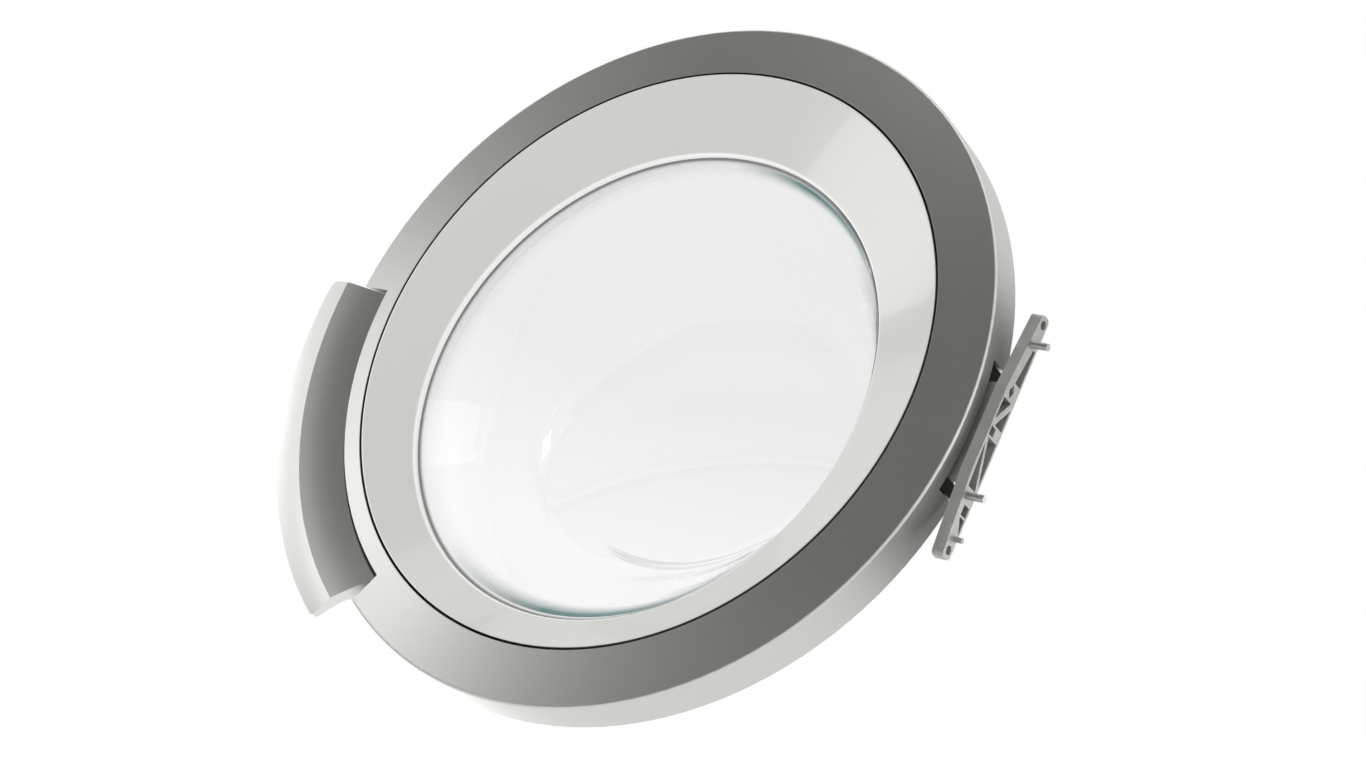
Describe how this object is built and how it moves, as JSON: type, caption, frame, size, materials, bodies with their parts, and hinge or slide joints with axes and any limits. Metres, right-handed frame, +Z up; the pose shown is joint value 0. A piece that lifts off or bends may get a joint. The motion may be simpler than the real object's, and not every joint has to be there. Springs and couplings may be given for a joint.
{
  "type": "washing machine door",
  "caption": "Round porthole door of a front-loading washing machine: silver ring, light trim, clear glass bowl, pivoting pull handle with a latch hook, and a cast hinge bar.",
  "frame": {"origin": "centre of the hinge bar's mounting face, halfway between its screw holes", "axes": "+Z up along the hinge pin, +Y from the door's front to its back, +X from the hinge bar to the handle side"},
  "size_m": [0.4911, 0.135, 0.444],
  "materials": {
    "ring_silver": "metallic silver gloss coat",
    "trim_grey": "light grey, gloss",
    "clear_glass": "clear, polished",
    "back_plastic": "moulded, satin",
    "screw_steel": "zinc plated",
    "handle_silver": "metallic silver satin coat",
    "rod_steel": "drawn steel",
    "spring_steel": "bright wire",
    "latch_steel": "pressed sheet, zinc plated",
    "latch_plastic": "moulded, smooth",
    "cast_metal": "as cast",
    "black_plastic": "moulded, satin"
  },
  "bodies": {
    "hinge": {"hinge_bar": "cast_metal", "hinge_dowels": "rod_steel", "hinge_pin": "rod_steel"},
    "door": {"outer_ring": "ring_silver", "inner_ring": "trim_grey", "glass_bowl": "clear_glass", "rear_frame": "back_plastic", "frame_screws": "screw_steel", "bush_screws": "screw_steel", "handle_axle": "rod_steel", "handle_spring": "spring_steel", "latch_bracket": "latch_steel", "hook_pin": "rod_steel", "hook_spring": "spring_steel", "latch_screws": "screw_steel", "hinge_bush_upper": "black_plastic", "hinge_bush_lower": "black_plastic"},
    "handle": {"handle": "handle_silver"},
    "hook": {"latch_hook": "latch_plastic"}
  },
  "joints": [
    {"name": "door_hinge", "type": "hinge", "parent": "hinge", "child": "door", "pos_m": [0.021, 0.002, 0], "axis": [0, 0, 1], "range_deg": [-12, 90]},
    {"name": "handle_pivot", "type": "hinge", "parent": "door", "child": "handle", "pos_m": [0.41719, -0.011, 0.09876], "axis": [0.4726, 0, -0.8813], "range_deg": [0, 10], "stiffness_Nm_per_rad": 0.6, "springref_deg": -5.73},
    {"name": "hook_pivot", "type": "hinge", "parent": "door", "child": "hook", "pos_m": [0.38899, -0.003, 0.08364], "axis": [-0.4726, 0, 0.8813], "range_deg": [0, 16]}
  ],
  "couplings": [
    {"joint": "hook_pivot", "follows": "handle_pivot", "ratio": 1.55}
  ]
}
